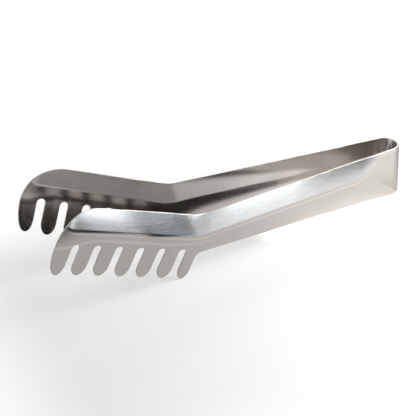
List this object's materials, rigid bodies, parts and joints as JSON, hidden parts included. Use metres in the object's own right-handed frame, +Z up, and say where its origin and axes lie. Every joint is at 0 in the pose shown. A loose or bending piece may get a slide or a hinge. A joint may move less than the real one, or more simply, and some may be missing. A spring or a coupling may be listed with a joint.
{
  "type": "serving tongs",
  "caption": "One-piece stainless spring tongs: a tight bow joins two creased arms that crank up into round-toothed combs for gripping pasta or salad.",
  "frame": {"origin": "under the middle of the tongs, on the level that they stand on", "axes": "+Z up, +X from the teeth towards the spring bow, +Y from the front arm towards the rear arm"},
  "size_m": [0.1998, 0.0528, 0.0573],
  "materials": {
    "steel": "stainless sheet, brushed lengthwise on the flanges and satin below the crease"
  },
  "bodies": {
    "bow": {"spring_bow": "steel"},
    "front": {"front_arm": "steel"},
    "rear": {"rear_arm": "steel"}
  },
  "joints": [
    {"name": "front_squeeze", "type": "hinge", "parent": "bow", "child": "front", "pos_m": [0.09086, -0.00726, 0.00054], "axis": [-0.0775, 0, -0.997], "range_deg": [-2.5, 6.5], "stiffness_Nm_per_rad": 10},
    {"name": "rear_squeeze", "type": "hinge", "parent": "bow", "child": "rear", "pos_m": [0.09086, 0.00726, 0.00054], "axis": [0.0775, 0, 0.997], "range_deg": [-2.5, 6.5], "stiffness_Nm_per_rad": 10}
  ],
  "couplings": [
    {"joint": "rear_squeeze", "follows": "front_squeeze", "ratio": 1}
  ]
}
